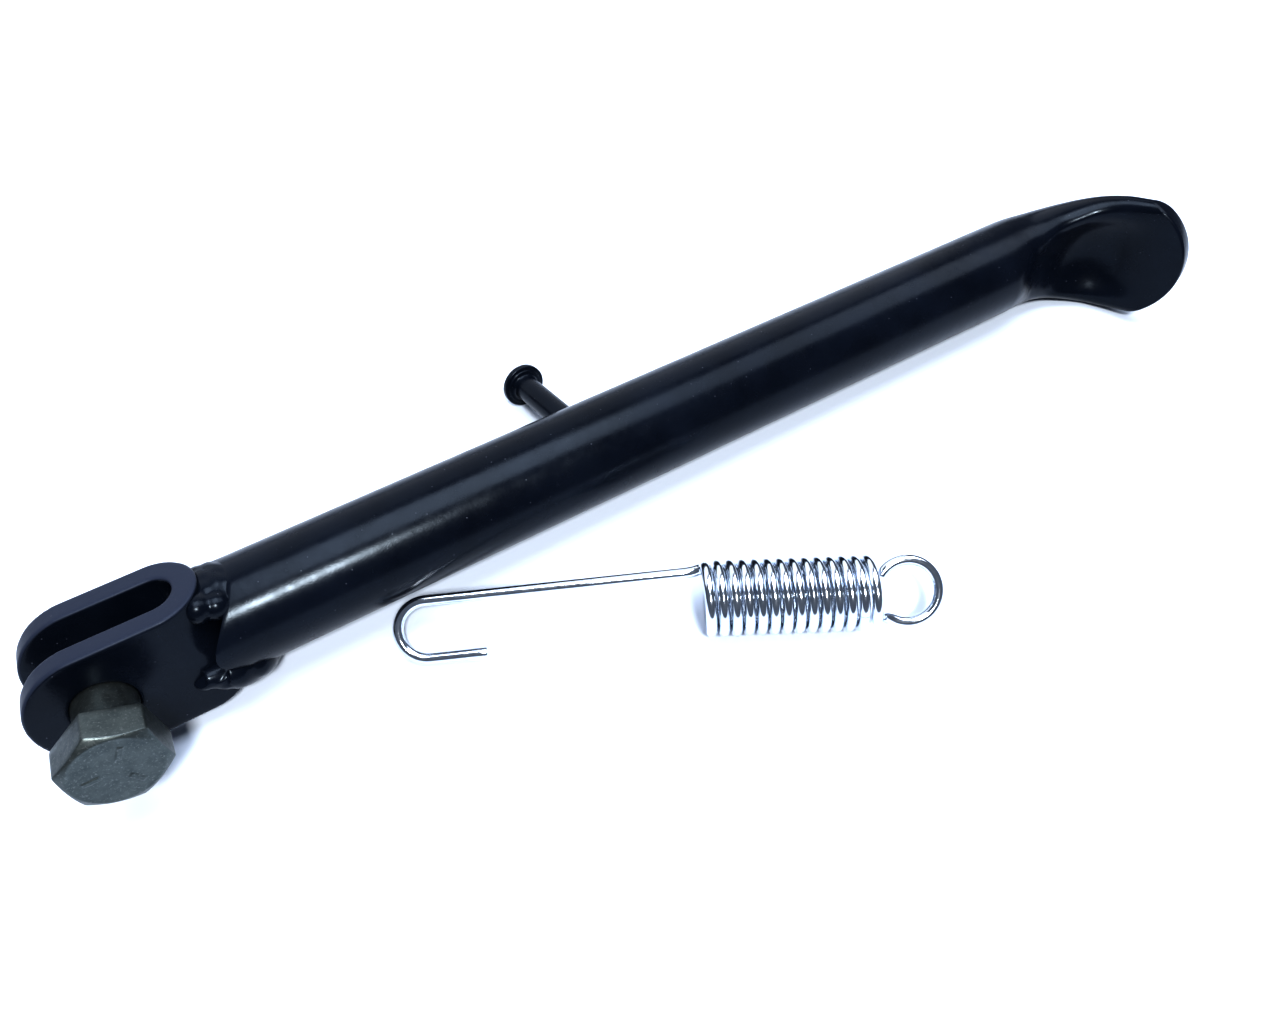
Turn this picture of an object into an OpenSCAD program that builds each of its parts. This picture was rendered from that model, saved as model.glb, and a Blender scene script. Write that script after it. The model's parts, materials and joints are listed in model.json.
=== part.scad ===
// Motorcycle side stand (kickstand) with its pivot bolt and return spring.
// The stand is modelled in its own frame: X along the leg towards the foot, Y along the pivot
// axis away from the bolt's head, Z across the leg. The origin is the middle of the fork, on the
// pivot axis. lay() then turns it into the pose in which it lies flat on a table, with +Z up.

/* [Leg] */
// Outer diameter of the leg tube
tube_d = 22; // [20:0.5:25]
// Wall thickness of the leg tube
tube_wall = 2.3; // [1.8:0.1:2.8]
// Distance from the pivot to the start of the foot's bend
bend_start = 225; // [180:5:300]

/* [Foot] */
// Centre-line radius of the foot's bend
bend_r = 21; // [19:1:28]
// Angle through which the foot is bent
bend_angle = 68; // [60:1:75]
// Half of the width of the flattened sole
sole_half_w = 15; // [14:0.5:16.5]
// Straight length of the sole between the bend and its corners
sole_flat = 8.5; // [6:0.5:14]
// How far the rounded toe stands beyond the corners
toe_reach = 10; // [8:0.5:13]
// Depth of the dent that the press leaves inside the bend
dent_depth = 4.6; // [2:0.1:5]

/* [Fork] */
// Thickness of each ear of the fork
ear_t = 4.6; // [4:0.1:6]
// Gap between the ears, for the frame's lug
slot_w = 8; // [7:0.5:10]
// Height of the ears, and twice the radius of their round ends
ear_h = 25.2; // [24:0.4:28]
// Distance from the pivot to the middle of the fork's bend
fork_bend_x = 14.3; // [13:0.1:16]

/* [Pivot bolt] */
// Diameter of the bolt's plain shoulder
shoulder_d = 11; // [10.5:0.5:12]
// Length of the shoulder under the head
shoulder_l = 12.3; // [11.5:0.1:14]
// Diameter of the thread
thread_d = 10; // [8:1:10]
// Length of the thread
thread_l = 12.7; // [10:0.1:16]
// Hexagon size across flats
head_af = 16; // [14:1:17]
// Thickness of the head
head_h = 7.4; // [6:0.1:8]
// How far the bolt is screwed out of the fork, measured under its head
bolt_out = 8; // [4:0.5:9]

/* [Spring peg] */
// Distance from the pivot to the peg along the leg
peg_x = 105.4; // [80:1:130]
// Diameter of the peg
peg_d = 5.9; // [5:0.1:7]
// Distance from the leg's centre line to the near face of the peg's flange
peg_l = 32.4; // [26:0.2:36]
// Angle by which the peg leans towards the pivot
peg_lean = 5.6; // [0:0.2:8]
// Diameter of the peg's flange
flange_d = 10.3; // [9:0.1:12]
// Thickness of the peg's flange
flange_t = 1.5; // [1.2:0.1:2]

/* [Return spring] */
// Diameter of the spring's wire
wire_d = 2.2; // [2:0.1:2.3]
// Outer diameter of the coil
coil_d = 15.8; // [14:0.5:17]
// Distance from turn to turn
coil_pitch = 2.52; // [2.4:0.01:2.7]
// Whole turns in the coil, apart from the part turn between its two ends
coil_turns = 13; // [10:1:16]
// Outer diameter of the round eye
eye_d = 15; // [13:0.2:15.6]
// Length of the straight wire between the coil and the hook
hook_wire_l = 52.6; // [40:0.1:70]
// Outer width of the hook
hook_w = 14; // [11:0.2:15]
// Length of the hook's short end
hook_end_l = 11.5; // [8:0.5:16]

/* [Hidden] */
$fn = 96;

tube_r = tube_d / 2;
bore_r = tube_r - tube_wall;
running_gap = 0.05;

black_paint = "#16171c";
bolt_steel = "#5d5f55";
zinc_plate = "#c9ced6";

// ---- Fork -------------------------------------------------------------------------------
fork_half_w = slot_w / 2 + ear_t;
ear_r = ear_h / 2;
saddle_r = 11.5;
saddle_x = fork_bend_x + 1.5;

module fork_plan() {
    difference() {
        union() {
            translate([-ear_r - 1, -fork_half_w])
                square([ear_r + 1 + fork_bend_x, 2 * fork_half_w]);
            translate([fork_bend_x, 0])
                circle(r = fork_half_w);
        }
        translate([-ear_r - 2, -slot_w / 2])
            square([ear_r + 2 + fork_bend_x, slot_w]);
        translate([fork_bend_x, 0])
            circle(r = slot_w / 2);
    }
}

module fork_side() {
    circle(r = ear_r);
    translate([0, -ear_r])
        square([fork_bend_x + fork_half_w + 1, ear_h]);
}

module fork_blank() {
    intersection() {
        translate([0, 0, -ear_r])
            linear_extrude(ear_h)
                fork_plan();
        rotate([90, 0, 0])
            translate([0, 0, -fork_half_w - 1])
                linear_extrude(2 * fork_half_w + 2)
                    fork_side();
    }
}

// A cylinder along the pivot axis, from y0 to y1
module pivot_rod(r, y0, y1) {
    translate([0, y0, 0])
        rotate([-90, 0, 0])
            cylinder(r = r, h = y1 - y0);
}

// ---- Leg tube and pressed foot ----------------------------------------------------------
// The foot is a loft of rings that change from the round tube into a flat oval.
ring_side = 8;
ring_n = 4 * ring_side;
press_start = 4.5;
press_end = 29;
dent_start = -7;
dent_end = 27;
outer_share = 0.49;
bend_len = bend_r * bend_angle * PI / 180;
loft_steps = 26;
joint_inset = 0.98;
joint_reach = 1.5;
plug_l = 6;

function ease(t) = let (c = min(max(t, 0), 1)) c * c * (3 - 2 * c);
function pressed(s) = ease((s - press_start) / (press_end - press_start));
function dented(s) = dent_depth * ease((s - dent_start) / 15) * ease((dent_end - s) / 12);

// Place and heading on the leg's centre line, at a distance s past the start of the bend
function bend_heading(s) = min(max(s, 0), bend_len) / bend_r * 180 / PI;
function bend_point(s) =
    let (h = bend_heading(s), past = max(s - bend_len, 0))
    [
        bend_start + min(s, 0) + bend_r * sin(h) + past * cos(h),
        -bend_r * (1 - cos(h)) - past * sin(h)
    ];

// Unit outlines, as [across the sole, through the sole]: an arc, a flat, an arc, a flat
function ring_angle(i) = (i - ring_side / 2) * 360 / ring_n;
function flat_oval(i, w, t) =
    let (
        side = floor(i / ring_side),
        k = (i % ring_side) / ring_side,
        c = w - t
    )
    side == 0 ? [c + t * cos(180 * k - 90), t * sin(180 * k - 90)]
    : side == 1 ? [c - 2 * c * k, t]
    : side == 2 ? [-c - t * cos(180 * k - 90), -t * sin(180 * k - 90)]
    : [-c + 2 * c * k, -t];

function foot_ring(s, scale = 1) =
    let (
        f = pressed(s),
        at = bend_point(s),
        h = bend_heading(s),
        half_t = tube_r + (tube_wall - tube_r) * f,
        shift = outer_share * (half_t - tube_r)
    )
    [
        for (i = [0:ring_n - 1])
            let (
                round = tube_r * [cos(ring_angle(i)), sin(ring_angle(i))],
                p = round * (1 - f) + flat_oval(i, sole_half_w, tube_wall) * f,
                w = tube_r + (sole_half_w - tube_r) * f,
                sink = p[1] > 0 ? dented(s) * pow(1 - pow(p[0] / w, 2), 1.6) : 0,
                u = (p[1] - sink) * scale + shift
            )
            [at[0] - u * sin(h), at[1] - u * cos(h), p[0] * scale]
    ];

// Closes a list of rings, all with the same number of points, into one solid
function middle(ring) = [for (r = ring) 1] * ring / len(ring);

module loft(rings) {
    n = len(rings[0]);
    m = len(rings);
    points = concat([for (r = rings, p = r) p], [middle(rings[0]), middle(rings[m - 1])]);
    walls = [
        for (j = [0:m - 2], i = [0:n - 1])
            let (a = j * n + i, b = j * n + (i + 1) % n)
            for (tri = [[a, b + n, b], [a, a + n, b + n]]) tri
    ];
    first = [for (i = [0:n - 1]) [i, (i + 1) % n, m * n]];
    last = [for (i = [0:n - 1]) [(m - 1) * n + (i + 1) % n, (m - 1) * n + i, m * n + 1]];
    polyhedron(points, concat(first, walls, last));
}

// The loft's first and last rings are a little smaller, and end inside the tube and the sole
module foot_bend() {
    from = dent_start + 0.5;
    to = press_end - 0.3;
    loft(concat(
        [foot_ring(dent_start - joint_reach, joint_inset)],
        [for (j = [0:loft_steps]) foot_ring(from + (to - from) * j / loft_steps)],
        [foot_ring(press_end + joint_reach, joint_inset)]
    ));
}

// Flat end of the foot: rolled side edges and a toe cut to an arc
module sole_plate() {
    at = bend_point(press_end);
    shift = outer_share * (tube_wall - tube_r);
    corner = bend_len + sole_flat - press_end;
    toe_r = (sole_half_w * sole_half_w + toe_reach * toe_reach) / (2 * toe_reach);
    edge_w = sole_half_w - tube_wall;
    translate([at[0], at[1], 0])
        rotate([0, 0, -bend_angle])
            translate([0, -shift, 0])
                intersection() {
                    union() {
                        translate([0, -tube_wall, -edge_w])
                            cube([corner + toe_reach, 2 * tube_wall, 2 * edge_w]);
                        for (side = [-1, 1])
                            translate([0, 0, side * edge_w])
                                rotate([0, 90, 0])
                                    cylinder(r = tube_wall, h = corner + toe_reach);
                    }
                    translate([corner + toe_reach - toe_r, 0, 0])
                        rotate([90, 0, 0])
                            translate([0, 0, -tube_r])
                                cylinder(r = toe_r, h = tube_d);
                }
}

module leg_tube() {
    color(black_paint)
        lay() {
            difference() {
                translate([saddle_x, 0, 0])
                    rotate([0, 90, 0])
                        cylinder(r = tube_r, h = bend_start + dent_start - saddle_x);
                rotate([0, 90, 0])
                    cylinder(r = bore_r, h = bend_start + dent_start - plug_l);
                translate([saddle_x, 0, -tube_d])
                    cylinder(r = saddle_r, h = 2 * tube_d);
                peg_rod(peg_d / 2 + running_gap, 0, peg_l);
            }
            foot_bend();
            sole_plate();
        }
}

// ---- Fork bracket -----------------------------------------------------------------------
near_bore_r = shoulder_d / 2 + running_gap;
far_bore_r = thread_d / 2 + running_gap;

module fork_bracket() {
    color(black_paint)
        lay()
            difference() {
                fork_blank();
                pivot_rod(near_bore_r, -fork_half_w - 1, 0);
                pivot_rod(far_bore_r, 0, fork_half_w + 1);
            }
}

// ---- Welds ------------------------------------------------------------------------------
bead_step = 17;

// A row of beads round the tube's mouth, trimmed to the metal that it joins
module fork_weld(from, to, ring_r, bead_r) {
    difference() {
        for (a = [from:bead_step:to]) {
            y = ring_r * cos(a);
            bend_back = fork_bend_x + sqrt(fork_half_w * fork_half_w - y * y);
            mouth = saddle_x + sqrt(saddle_r * saddle_r - y * y);
            translate([(bend_back + mouth) / 2, y, ring_r * sin(a)])
                sphere(r = bead_r, $fn = 48);
        }
        fork_blank();
        translate([saddle_x, 0, 0])
            difference() {
                rotate([0, 90, 0])
                    cylinder(r = tube_r, h = 30);
                translate([0, 0, -tube_d])
                    cylinder(r = saddle_r, h = 2 * tube_d);
            }
        pivot_rod(near_bore_r, -tube_d, tube_d);
    }
}

module fork_weld_top() {
    color(black_paint)
        lay()
            fork_weld(39, 141, 8.6, 3.1);
}

module fork_weld_bottom() {
    color(black_paint)
        lay()
            fork_weld(-149, -31, 9.6, 3.5);
}

module peg_weld() {
    color(black_paint)
        lay()
            difference() {
                peg_frame()
                    translate([0, 0, tube_r - 1.6])
                        cylinder(r1 = peg_d / 2 + 1.9, r2 = peg_d / 2 + 0.3, h = 3.1);
                peg_rod(peg_d / 2, 0, peg_l);
                rotate([0, 90, 0])
                    cylinder(r = tube_r, h = bend_start);
            }
}

// ---- Spring peg -------------------------------------------------------------------------
module peg_frame() {
    translate([peg_x, 0, 0])
        rotate([-90, 0, peg_lean])
            children();
}

module peg_rod(r, from, to) {
    peg_frame()
        translate([0, 0, from])
            cylinder(r = r, h = to - from);
}

module spring_peg() {
    fillet = 0.8;
    color(black_paint)
        lay()
            peg_frame()
                rotate_extrude()
                    polygon([
                        [0, bore_r - 1.2],
                        [peg_d / 2, bore_r - 1.2],
                        [peg_d / 2, peg_l - fillet],
                        [peg_d / 2 + fillet, peg_l],
                        [flange_d / 2, peg_l],
                        [flange_d / 2, peg_l + flange_t - 0.3],
                        [flange_d / 2 - 0.3, peg_l + flange_t],
                        [0, peg_l + flange_t]
                    ]);
}

// ---- Pivot bolt -------------------------------------------------------------------------
head_seat_y = -fork_half_w - bolt_out;
head_r = head_af / sqrt(3);
washer_h = 0.4;

module pivot_bolt() {
    shoulder_end = head_seat_y + shoulder_l;
    thread_r = thread_d / 2;
    color(bolt_steel)
        lay() {
            intersection() {
                translate([0, head_seat_y - washer_h, 0])
                    rotate([90, 25, 0])
                        cylinder(r = head_r, h = head_h - washer_h, $fn = 6);
                translate([0, head_seat_y, 0])
                    rotate([90, 0, 0])
                        rotate_extrude()
                            polygon([
                                [0, 0],
                                [head_r, 0],
                                [head_r + 0.1, head_h - 0.8],
                                [head_af / 2 - 0.5, head_h],
                                [0, head_h]
                            ]);
            }
            translate([0, head_seat_y, 0])
                rotate([90, 0, 0])
                    cylinder(r = head_af / 2 - 0.5, h = washer_h);
            pivot_rod(shoulder_d / 2, head_seat_y, shoulder_end);
            pivot_rod(thread_r - 0.6, shoulder_end, shoulder_end + 1);
            pivot_rod(thread_r, shoulder_end + 1, shoulder_end + thread_l - 0.8);
            translate([0, shoulder_end + thread_l - 0.8, 0])
                rotate([-90, 0, 0])
                    cylinder(r1 = thread_r, r2 = thread_r - 0.8, h = 0.8);
        }
}

// ---- Return spring ----------------------------------------------------------------------
// The wire is drawn in the spring's own frame: X along the coil towards the eye, and Y and Z
// across it, with the hook and the eye in the XY plane. lay_spring() puts it on the table.
wire_r = wire_d / 2;
wire_sides = 8;
coil_r = (coil_d - wire_d) / 2;
turn_steps = 18;
first_angle = 25;
last_angle = 120 + 360 * coil_turns;
end_turns = 1;
bezier_steps = 7;
eye_r = (eye_d - wire_d) / 2;
eye_x = coil_x(last_angle) + 7.8;
eye_first = -115;
eye_last = 150;
hook_r = (hook_w - wire_d) / 2;
hook_slope = 4;
hook_start = [-3, 5.3, 0];

function coil_x(a) = wire_r + (a - first_angle) / 360 * coil_pitch;
function coil_point(a) = [coil_x(a), coil_r * cos(a), coil_r * sin(a)];
function coil_dir(a) = [coil_pitch / (2 * PI * coil_r), -sin(a), cos(a)];
function coil_arc(a0, a1) =
    let (n = round((a1 - a0) * turn_steps / 360))
    [for (i = [0:n]) coil_point(a0 + (a1 - a0) * i / n)];
function bezier(p0, d0, p1, d1) = [
    for (i = [1:bezier_steps - 1])
        let (t = i / bezier_steps, q = 1 - t)
        q * q * q * p0 + 3 * q * q * t * (p0 + d0) + 3 * q * t * t * (p1 - d1) + t * t * t * p1
];

// A tube of wire along a path. Each ring's frame follows on from the one before.
function unit(v) = v / norm(v);
function path_dir(p, i) = unit(p[min(i + 1, len(p) - 1)] - p[max(i - 1, 0)]);
function side_dirs(p, i, v, found) =
    i == len(p) ? found
    : let (t = path_dir(p, i), w = unit(v - (v * t) * t)) side_dirs(p, i + 1, w, concat(found, [w]));
function wire_rings(p, v) =
    let (sides = side_dirs(p, 0, v, []))
    [
        for (i = [0:len(p) - 1])
            let (t = path_dir(p, i), a = sides[i], b = cross(t, a))
            [
                for (k = [0:wire_sides - 1])
                    p[i] + wire_r * (a * cos(360 * k / wire_sides) + b * sin(360 * k / wire_sides))
            ]
    ];

module wire(path, side) {
    loft(wire_rings(path, side));
}

split_first = first_angle + 360 * end_turns;
split_last = last_angle - 360 * end_turns;
split_gap = 4;

module spring_coil() {
    color(zinc_plate)
        lay_spring()
            wire(coil_arc(split_first + split_gap, split_last - split_gap), coil_point(split_first));
}

module spring_eye_end() {
    eye_point = [eye_x + eye_r * cos(eye_first), eye_r * sin(eye_first), 0];
    eye_dir = [-sin(eye_first), cos(eye_first), 0];
    path = concat(
        coil_arc(split_last, last_angle),
        bezier(coil_point(last_angle), coil_dir(last_angle) * 4, eye_point, eye_dir * 4),
        [for (a = [eye_first:12:eye_last]) [eye_x + eye_r * cos(a), eye_r * sin(a), 0]]
    );
    color(zinc_plate)
        lay_spring()
            wire(path, coil_point(split_last));
}

module spring_hook_end() {
    along = [-cos(hook_slope), -sin(hook_slope), 0];
    across = [sin(hook_slope), -cos(hook_slope), 0];
    middle = hook_start + hook_wire_l * along + hook_r * across;
    path = concat(
        [middle + hook_r * across - hook_end_l * along],
        [
            for (a = [90:-15:-90])
                middle + hook_r * (sin(a) * across + cos(a) * along)
        ],
        [hook_start],
        bezier(hook_start, -along * 4, coil_point(first_angle), coil_dir(first_angle) * 2.5),
        coil_arc(first_angle, split_first)
    );
    color(zinc_plate)
        lay_spring()
            wire(path, [0, 0, 1]);
}

// ---- Lying on the table -----------------------------------------------------------------
// Three places touch the table: the far ear's lower edge where the fork's bend starts, the rim of
// the peg's flange and the lower edge of the foot where its bend ends.
contact_s = 22;
ear_contact = [fork_bend_x, fork_half_w, -ear_r];
flange_contact = [
    peg_x - (peg_l + flange_t) * sin(peg_lean),
    (peg_l + flange_t) * cos(peg_lean),
    -flange_d / 2
];
foot_side = pressed(contact_s);
foot_contact = concat(
    bend_point(contact_s),
    [-(tube_r + (sole_half_w - tube_r) * foot_side)]
);
table_normal = unit(cross(flange_contact - ear_contact, foot_contact - ear_contact) * -1);
rest_roll = atan2(table_normal[1], table_normal[2]);
rest_pitch = -atan2(table_normal[0], norm([table_normal[1], table_normal[2]]));
table_z = table_normal * ear_contact;

module lay() {
    rotate([rest_roll, rest_pitch, 0])
        children();
}

// The loose spring lies beside the leg, rolled until its hook's short end meets the table
spring_x = 105.8;
spring_y = -40.1;
spring_turn = -28.5;
spring_roll = 38;

module lay_spring() {
    translate([spring_x, spring_y, table_z + coil_d / 2])
        rotate([0, 0, spring_turn])
            rotate([spring_roll, 0, 0])
                children();
}

leg_tube();
fork_bracket();
fork_weld_top();
fork_weld_bottom();
spring_peg();
peg_weld();
pivot_bolt();
spring_eye_end();
spring_coil();
spring_hook_end();
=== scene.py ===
import json
import math

import bpy
import numpy as np
from mathutils import Matrix, Vector


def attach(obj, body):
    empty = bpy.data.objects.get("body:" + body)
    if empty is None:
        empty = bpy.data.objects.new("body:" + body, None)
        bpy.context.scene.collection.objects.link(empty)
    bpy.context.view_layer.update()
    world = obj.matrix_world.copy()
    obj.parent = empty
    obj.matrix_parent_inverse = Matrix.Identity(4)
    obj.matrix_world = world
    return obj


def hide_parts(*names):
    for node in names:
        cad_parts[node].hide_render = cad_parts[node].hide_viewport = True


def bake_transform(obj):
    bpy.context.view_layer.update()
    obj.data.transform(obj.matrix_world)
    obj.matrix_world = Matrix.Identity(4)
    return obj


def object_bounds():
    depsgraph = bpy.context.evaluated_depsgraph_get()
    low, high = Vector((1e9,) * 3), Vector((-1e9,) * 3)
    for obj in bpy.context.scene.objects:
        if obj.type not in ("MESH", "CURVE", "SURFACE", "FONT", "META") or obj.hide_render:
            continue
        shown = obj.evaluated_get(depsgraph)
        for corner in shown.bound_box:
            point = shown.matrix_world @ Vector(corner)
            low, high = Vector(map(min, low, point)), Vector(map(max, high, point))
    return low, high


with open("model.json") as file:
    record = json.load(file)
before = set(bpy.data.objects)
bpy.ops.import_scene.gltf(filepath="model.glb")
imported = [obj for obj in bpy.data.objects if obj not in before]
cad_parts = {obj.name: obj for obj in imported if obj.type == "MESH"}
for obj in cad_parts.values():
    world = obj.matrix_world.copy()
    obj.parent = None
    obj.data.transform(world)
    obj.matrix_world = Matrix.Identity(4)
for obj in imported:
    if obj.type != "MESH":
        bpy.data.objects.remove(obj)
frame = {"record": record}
cad_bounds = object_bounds()

# A motorcycle's side stand, its pivot bolt and its return spring, lying on a table.
# Shapes are worked out in millimetres in the stand's own frame: X along the leg, Y along the pivot axis
# away from the bolt's head, Z across the leg. place() turns them into the frame's metres.
# The spring has its own frame, with X along its coil towards the eye. place_spring() turns it likewise.

MM = 0.001
TAU = 2 * math.pi

# ---- Sizes, as in the CAD model, in millimetres -------------------------------------------------
TUBE_R, TUBE_WALL = 11.0, 2.3
BORE_R = TUBE_R - TUBE_WALL
BEND_START, BEND_R, BEND_ANGLE = 225.0, 21.0, math.radians(68)
SOLE_HALF_W, SOLE_FLAT, TOE_REACH = 15.0, 8.5, 10.0
DENT_DEPTH, DENT_START, DENT_END = 4.6, -7.0, 40.0
PRESS_START, PRESS_END, OUTER_SHARE = 4.5, 29.0, 0.49
FOLD_H = 1.2  # of the raised folds beside the dent, which are only in this scene
TOE_EDGE, RIM_EDGE = 0.7, 0.35  # radii of the toe's edge and of the tube's rim
EAR_T, SLOT_W, EAR_R, FORK_BEND_X = 4.6, 8.0, 12.6, 14.3
FORK_HALF_W = SLOT_W / 2 + EAR_T
SADDLE_R, SADDLE_X = 11.5, FORK_BEND_X + 1.5
SHOULDER_R, SHOULDER_L = 5.5, 12.3
THREAD_R, THREAD_L, THREAD_PITCH = 5.0, 12.7, 1.5
HEAD_AF, HEAD_H, WASHER_H, BOLT_OUT = 16.0, 7.4, 0.4, 8.0
RUNNING_GAP = 0.05
PEG_X, PEG_R, PEG_L, PEG_LEAN = 105.4, 2.95, 32.4, math.radians(5.6)
FLANGE_R, FLANGE_T = 5.15, 1.5
WIRE_R, COIL_R, COIL_PITCH, COIL_TURNS = 1.1, 6.8, 2.52, 13
EYE_R, HOOK_R, HOOK_WIRE_L, HOOK_END_L = 6.4, 5.9, 52.6, 11.5
FIRST_ANGLE, LAST_ANGLE = math.radians(25), math.radians(120 + 360 * COIL_TURNS)
EYE_FIRST, EYE_LAST, EYE_STEP_OUT = math.radians(-115), math.radians(150), 7.8
HOOK_SLOPE, HOOK_START = math.radians(4), np.array((-3.0, 5.3, 0.0))
SPRING_AT, SPRING_ROLL = (105.8, -40.1), math.radians(38)

# ---- Frames: the stand's own axes and the spring's, from the record -----------------------------
record = frame["record"]
mounts = {m["name"]: m for m in record["mounts"]}
joints = {j["name"]: j for j in record["behaviour"]["joints"]}
pivot_axis = Vector(mounts["lug_pivot"]["axis"]).normalized()
leg_axis = pivot_axis.cross(Vector((0, 1, 0))).normalized()
STAND = np.array(Matrix((leg_axis, pivot_axis, leg_axis.cross(pivot_axis))).transposed())

floor_z = cad_bounds[0][2]  # in metres, at the CAD's lowest point
coil_axis = Vector(joints["spring_stretch"]["axis"]).normalized()
coil_side = Vector((0, 0, 1)).cross(coil_axis)
SPRING = np.array(Matrix((coil_axis, coil_side, Vector((0, 0, 1)))).transposed())
SPRING = SPRING @ np.array(Matrix.Rotation(SPRING_ROLL, 3, "X"))
spring_origin = np.array((SPRING_AT[0], SPRING_AT[1], floor_z / MM + COIL_R + WIRE_R))


def place(points):
    """Points in the stand's frame, in millimetres, as row-frame metres."""
    return (np.asarray(points) @ STAND.T) * MM


def place_spring(points):
    """Points in the spring's frame, in millimetres, as row-frame metres."""
    return (np.asarray(points) @ SPRING.T + spring_origin) * MM


# ---- Mesh building ------------------------------------------------------------------------------
def ease(t):
    c = np.clip(t, 0.0, 1.0)
    return c * c * (3 - 2 * c)


def grid_faces(rows, columns):
    """Quads between each ring of points and the next, where every ring closes on itself."""
    faces = []
    for j in range(rows - 1):
        for i in range(columns):
            k = (i + 1) % columns
            faces.append((j * columns + i, j * columns + k, (j + 1) * columns + k, (j + 1) * columns + i))
    return faces


def fan(centre, ring, flip):
    """Triangles from a middle point to a closed ring of points."""
    pairs = zip(ring, ring[1:] + ring[:1])
    return [(centre, b, a) if flip else (centre, a, b) for a, b in pairs]


def loft(rings):
    """A closed mesh through rings with equal numbers of points, with a fan at each end."""
    rows, columns = len(rings), len(rings[0])
    points = np.concatenate(rings)
    middles = [np.mean(rings[0], axis=0), np.mean(rings[-1], axis=0)]
    points = np.concatenate([points, middles])
    first = list(range(columns))
    last = [(rows - 1) * columns + i for i in range(columns)]
    faces = grid_faces(rows, columns)
    faces += fan(rows * columns, first, True) + fan(rows * columns + 1, last, False)
    return points, faces


def level_ring(angles, radius, height):
    """A ring about +Z. The radius and the height are numbers, or arrays with one value for each angle."""
    level = np.zeros(len(angles)) + height
    return np.stack([radius * np.cos(angles), radius * np.sin(angles), level], axis=1)


def turned(profile, sides):
    """A solid of revolution about +Z through (radius, height) pairs."""
    angles = np.arange(sides) * TAU / sides
    return loft([level_ring(angles, radius, height) for radius, height in profile])


def rounded(corners, radius, steps=5):
    """A profile whose inner corners are rounded to the given radius."""
    out = [np.array(corners[0], float)]
    for before, here, after in zip(corners, corners[1:], corners[2:]):
        here = np.array(here, float)
        to_before = np.array(before) - here
        to_after = np.array(after) - here
        reach = min(radius, 0.45 * np.linalg.norm(to_before), 0.45 * np.linalg.norm(to_after))
        a = here + to_before / np.linalg.norm(to_before) * reach
        b = here + to_after / np.linalg.norm(to_after) * reach
        for t in np.linspace(0, 1, steps):
            out.append((1 - t) ** 2 * a + 2 * t * (1 - t) * here + t * t * b)
    out.append(np.array(corners[-1], float))
    return out


def swept(path, radii, sides, start_side):
    """A round wire or bead along a path, with one radius for each point of the path."""
    path = np.asarray(path)
    ahead = np.vstack([path[1:], path[-1:]]) - np.vstack([path[:1], path[:-1]])
    ahead /= np.linalg.norm(ahead, axis=1)[:, None]
    side = np.asarray(start_side, float)
    angles = np.arange(sides) * TAU / sides
    rings = []
    for point, direction, radius in zip(path, ahead, radii):
        side = side - direction * (side @ direction)
        side /= np.linalg.norm(side)
        other = np.cross(direction, side)
        circle = np.outer(np.cos(angles), side) + np.outer(np.sin(angles), other)
        rings.append(point + circle * radius)
    return loft(rings)


def make_mesh(name, points, faces):
    mesh = bpy.data.meshes.new(name)
    mesh.from_pydata([tuple(p) for p in points], [], faces)
    mesh.validate()
    obj = bpy.data.objects.new(name, mesh)
    bpy.context.collection.objects.link(obj)
    return obj


def outward(obj):
    """Turns the faces outwards and shades them smooth, with creases left where the mesh is sharp."""
    bpy.ops.object.select_all(action="DESELECT")
    obj.select_set(True)
    bpy.context.view_layer.objects.active = obj
    bpy.ops.object.mode_set(mode="EDIT")
    bpy.ops.mesh.select_all(action="SELECT")
    bpy.ops.mesh.normals_make_consistent(inside=False)
    bpy.ops.object.mode_set(mode="OBJECT")
    bpy.ops.object.shade_smooth_by_angle(angle=math.radians(40))


def piece(name, points, faces, body, nodes, material, rim_rough_and_highlight=None):
    """A finished piece of the object: it stands for its CAD nodes and rides on their body."""
    obj = make_mesh(name, points, faces)
    # The band along the ears' rims: rougher paint, and a painted highlight in its colour.
    if rim_rough_and_highlight is not None:
        obj.data.attributes.new("rim_rough_and_highlight", "FLOAT", "POINT").data.foreach_set("value", rim_rough_and_highlight)
    outward(obj)
    obj.data.materials.append(material)
    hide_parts(*nodes)
    if body:
        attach(obj, body)
    return obj


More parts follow.
